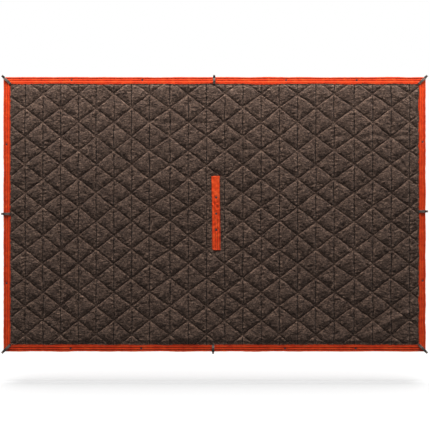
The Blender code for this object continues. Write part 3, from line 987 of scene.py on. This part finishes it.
for name, face, body, sewn_x, free_x in (
    ("over", -1, "over_flap", strip_high.x - 0.0006, strip_high.x - 0.0050),
    ("under", 1, "under_flap", under_low.x + 0.0006, under_low.x + 0.0050),
):
    wide, long = strip_high.x - strip_low.x, strip_high.z - strip_low.z
    piece, column, row = grid_piece(f"placket_{name}_strip", 150, 30)
    down, across = column / 150 * long, row / 30 * wide
    x, z = strip_place(down, across, face)
    y = face * strip_height(down, across, x, z, face)
    made_of_cloth(piece, np.stack([x, y, z], 1), (0, face, 0), 0.0009, pongee_lit_copy)
    # painted shade along the strip's stitch rows, hem and edges
    mark_gap(piece.data, 0.62 * strip_shade_gap(down, across))
    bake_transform(piece, "quilt", body, (sewn_x, y[0], strip_low.z), (free_x, y[0], strip_low.z))
    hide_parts(f"placket_{name}")
    rows = []
    runs = [(np.arange(0.012, long - 0.011, TOPSTITCH), row_at, None) for row_at in STRIP_ROWS[:2]]
    runs.append((None, np.arange(0.003, STRIP_ROWS[1] + 0.004, TOPSTITCH), long - HEM))
    for down, across, fixed in runs:
        down = np.full(len(across), fixed) if down is None else down
        across = np.full(len(down), across) if fixed is None else across
        x, z = strip_place(down, across, face)
        y = face * (strip_height(down, across, x, z, face) + 0.00010)
        points = np.stack([x, y, z], 1)
        rows.append(apart(points, snap_gap(x, z, snap_places)[:-1] > 0.0075, 0.10))
    starts, ends = [np.concatenate(values) for values in zip(*rows)]
    sewn = stitches(f"placket_{name}_stitches", starts, ends, 0.0006, (0, face, 0), orange_thread)
    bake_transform(sewn, "quilt", body, (sewn_x, 0, strip_low.z), (free_x, 0, strip_low.z))
    # the row along the strip's sewn edge goes through the quilt and stays with it
    down = np.arange(0.003, long - 0.003, TOPSTITCH)
    across = np.full(len(down), wide - 0.0014)
    x, z = strip_place(down, across, face)
    y = face * (strip_height(down, across, x, z, face) + 0.00010)
    points = np.stack([x, y, z], 1)
    sewn = stitches(f"placket_{name}_seam", points[:-1], points[1:], 0.0006, (0, face, 0), orange_thread)
    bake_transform(sewn, "quilt", body, (sewn_x, 0, strip_low.z), (free_x, 0, strip_low.z))

# ---------------------------------------------------------------------------------------------
# Snaps: ring snaps pressed from brass and plated to a dark gunmetal.  Each is a cap and post on
# one face and a socket or a stud on the other.
# ---------------------------------------------------------------------------------------------
# Gunmetal plating: dark, satin, with faint turning marks and lighter worn high spots.
gunmetal, tree = material("gunmetal_plated_brass")
spot = add(tree, "TexCoord").outputs["Object"]
worn = add(tree, "TexNoise", {"Vector": spot, "Scale": 700, "Detail": 3}).outputs["Fac"]
greys = add(tree, "ValToRGB", {0: worn}, stops=((0.35, "#2B2C2E"), (0.70, "#5C5D60"))).outputs[0]
rough = add(tree, "MapRange", {"Value": worn, "To Min": 0.32, "To Max": 0.52}).outputs[0]
marks = add(tree, "Bump", {"Height": worn, "Strength": 0.15, "Distance": 0.0001}).outputs[0]
surface(tree, {"Base Color": greys, "Metallic": 1.0, "Roughness": rough, "Normal": marks})

# Sections as (radius, height) in millimetres from the face against the cloth, top to bottom
CAP = ((0, 1.15), (1.0, 1.12), (1.6, 1.0), (1.9, 0.82), (2.2, 1.0), (3.3, 0.95), (4.0, 0.66), (4.3, 0.28))
CAP = CAP + ((4.15, 0), (1.4, 0), (1.4, -1.2), (0, -1.2))
SOCKET = ((0, 0.6), (2.3, 0.6), (2.3, 1.9), (2.45, 2.3), (2.9, 2.4), (3.4, 2.3), (3.7, 1.6))
SOCKET = SOCKET + ((4.0, 1.0), (4.6, 0.7), (4.6, 0.15), (4.4, 0), (0, 0))
STUD = ((0, 2.85), (0.5, 3.0), (1.2, 2.95), (1.65, 2.5), (1.7, 2.0), (1.45, 1.4), (1.7, 1.1))
STUD = STUD + ((2.6, 1.0), (3.6, 0.95), (4.3, 0.6), (4.6, 0.3), (4.5, 0), (0, 0))


def snap_piece(node, section, body):
    """A turned snap piece that takes a CAD node's place and fills its height."""
    low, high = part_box(node)
    face = -1 if node.split("_")[1] in ("cap", "stud") and not node.startswith("edge_stud") else 1
    radius = (high.x - low.x) / 2
    widest = max(r for r, _ in section)
    top, foot = max(h for _, h in section), min(h for _, h in section)
    outer = low.y if face < 0 else high.y
    scale = (high.y - low.y) / (top - foot)
    form = bmesh.new()
    line = [form.verts.new((r / widest * radius, 0, (h - top) * scale)) for r, h in section]
    for a, b in zip(line, line[1:]):
        form.edges.new((a, b))
    bmesh.ops.spin(
        form,
        geom=form.verts[:] + form.edges[:],
        cent=(0, 0, 0),
        axis=(0, 0, 1),
        angle=2 * math.pi,
        steps=32,
        use_merge=True,
    )
    bmesh.ops.remove_doubles(form, verts=form.verts, dist=0.00001)
    middle = (low + high) / 2
    for point in form.verts:
        x, y, height = point.co
        point.co = (middle.x + x, outer + face * height, middle.z + y)
    bmesh.ops.recalc_face_normals(form, faces=form.faces)
    made = new_piece(node + "_turned", form, gunmetal)
    made.data.set_sharp_from_angle(angle=math.radians(50))
    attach(made, body)
    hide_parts(node)


for node in sorted(n.name for n in bpy.data.objects if n.name.startswith(("edge_", "placket_"))):
    kind = node.split("_")[1]
    section = {"cap": CAP, "rivet": CAP, "socket": SOCKET, "stud": STUD}.get(kind)
    if section is None or node.endswith("_turned"):
        continue
    if node.startswith("edge_"):
        body = "quilt"
    else:
        body = "over_flap" if kind in ("cap", "socket") else "under_flap"
    snap_piece(node, section, body)

# ---------------------------------------------------------------------------------------------
# Tape loops: eight dark woven polyester tapes, each folded in two round an eye that stands out
# past the edge.  A bar tack at its inner end sews it to the binding, and one closes the eye.
# ---------------------------------------------------------------------------------------------
TAPE_HALF = 0.0060
TAPE_THICK = 0.0007
LEG_LIFT = 0.00042
EYE = 0.0036
LEG_POINTS = 36
EYE_POINTS = 33

# Narrow woven polyester tape, herringbone: fine slanting ribs that turn along its middle.
herringbone, tree = material("woven_polyester_tape_black")
strip_map = add(tree, "TexCoord").outputs["UV"]
parts = add(tree, "SeparateXYZ", {0: strip_map})
folded = add(tree, "Math", {0: parts.outputs["Y"]}, operation="ABSOLUTE").outputs[0]
chevrons = add(tree, "CombineXYZ", {0: parts.outputs["X"], 1: folded})
ribbing = {"Vector": chevrons.outputs[0], "Scale": 190, "Distortion": 0.6}
ribbing = add(tree, "TexWave", ribbing, bands_direction="DIAGONAL").outputs["Fac"]
tones = add(tree, "ValToRGB", {0: ribbing}, stops=((0.2, "#3C342F"), (0.8, "#786A60"))).outputs[0]
raised = add(tree, "Bump", {"Height": ribbing, "Strength": 0.6, "Distance": 0.0004}).outputs[0]
# painted shade darkens the tape at its bar tacks
tape_look = {"Base Color": painted_seam_shade(tree, tones, 0.16, 0.0052), "Roughness": 0.72}
surface(tree, {**tape_look, "Specular IOR Level": 0.3, "Normal": raised})

for place in range(9):
    if place == 4:
        continue
    row_name = ("top", "middle", "bottom")[place // 3]
    column_name = ("left", "centre", "right")[place % 3]
    label = f"{row_name}_{column_name}"
    low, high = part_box("loop_" + label)
    out_x, out_z = place % 3 - 1, 1 - place // 3
    way = Vector((out_x, 0, out_z)).normalized()
    side_way = Vector((way.z, 0, -way.x))
    base_x = {-1: quilt_left + band_wide, 0: (low.x + high.x) / 2, 1: quilt_right - band_wide}[out_x]
    base_z = {-1: quilt_bottom + band_wide, 0: (low.z + high.z) / 2, 1: quilt_top - band_wide}[out_z]
    edge_at = band_wide * math.hypot(out_x, out_z)
    eye_at = edge_at + 0.0062
    middle_y = low.y + EYE + 0.0004
    # the tape's line: out along the band, round the eye, and back on top of itself
    run = eye_at - EYE
    flat_part = np.linspace(0, run, LEG_POINTS)
    turn = np.radians(np.linspace(-174, 174, EYE_POINTS))
    dip = np.exp(-(((flat_part - edge_at + 0.001) / 0.0022) ** 2))
    arch = np.sin(np.clip((flat_part - 0.003) / (edge_at - 0.004), 0, 1) * math.pi)
    lower = np.stack([flat_part, np.full(LEG_POINTS, -LEG_LIFT)], 1)
    upper = np.stack([flat_part, LEG_LIFT + 0.0040 * arch**2 * (1 - dip)], 1)[::-1]
    eye = np.stack([eye_at + EYE * np.cos(turn), EYE * np.sin(turn)], 1)
    line = np.concatenate([lower, eye, upper])
    piece, column, row = grid_piece(f"loop_{label}_tape", len(line) - 1, 10)
    spread = (row / 10 - 0.5) * 2
    past = ease(line[column, 0], edge_at - 0.004, eye_at)
    half_width = TAPE_HALF * (1 - 0.20 * past) * (1 + 0.03 * ripple(line[column, 0], 0, 0.02, 110 + place))
    sag = 0.0002 * ripple(line[column, 0], spread * 0.004, 0.011, 120 + place)
    along, lift = line[column, 0], line[column, 1] + sag * ease(line[column, 0], 0.001, 0.004)
    points = (
        np.array((base_x, middle_y, base_z))
        + along[:, None] * np.array(way)
        + (spread * half_width)[:, None] * np.array(side_way)
        + lift[:, None] * np.array((0, -1.0, 0))
    )
    steps = np.concatenate([[0], np.cumsum(np.hypot(*np.diff(line, axis=0).T))])
    pattern_map(piece.data, steps[column], spread * half_width)
    # the tape's painted shade is darkest at its two bar tacks
    mark_gap(piece.data, np.minimum(np.abs(along - 0.0012), np.abs(along - edge_at + 0.002)))
    outward = np.where(column < LEG_POINTS, 1.0, 0) - np.where(column > LEG_POINTS + EYE_POINTS, 1.0, 0)
    made_of_cloth(piece, points, np.stack([outward * 0, outward, outward * 0], 1), TAPE_THICK, herringbone)
    piece.modifiers["thickness"].offset = 0
    base = Vector((base_x, middle_y, base_z))
    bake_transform(piece, "quilt", f"{label}_loop", base + way * 0.0005, base + way * 0.0045)
    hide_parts("loop_" + label)
    edge = row_name if row_name != "middle" else column_name
    under = f"binding_{edge}_folded"
    for where, at, body in (("inner", 0.0012, "quilt"), ("outer", edge_at - 0.002, f"{label}_loop")):
        across = np.linspace(-0.9, 0.9, 12) * TAPE_HALF
        zigzag = np.where(np.arange(12) % 2, 0.0007, -0.0007)
        proud = LEG_LIFT + TAPE_THICK / 2 + 0.0002
        points = (
            np.array(base)
            + (at + zigzag)[:, None] * np.array(way)
            + across[:, None] * np.array(side_way)
            + np.array((0, -proud, 0))
        )
        name = f"bar_tack_{where}_{label}"
        tack = stitches(name, points[:-1], points[1:], 0.0006, (0, -1, 0), dark_thread)
        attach(tack, body)
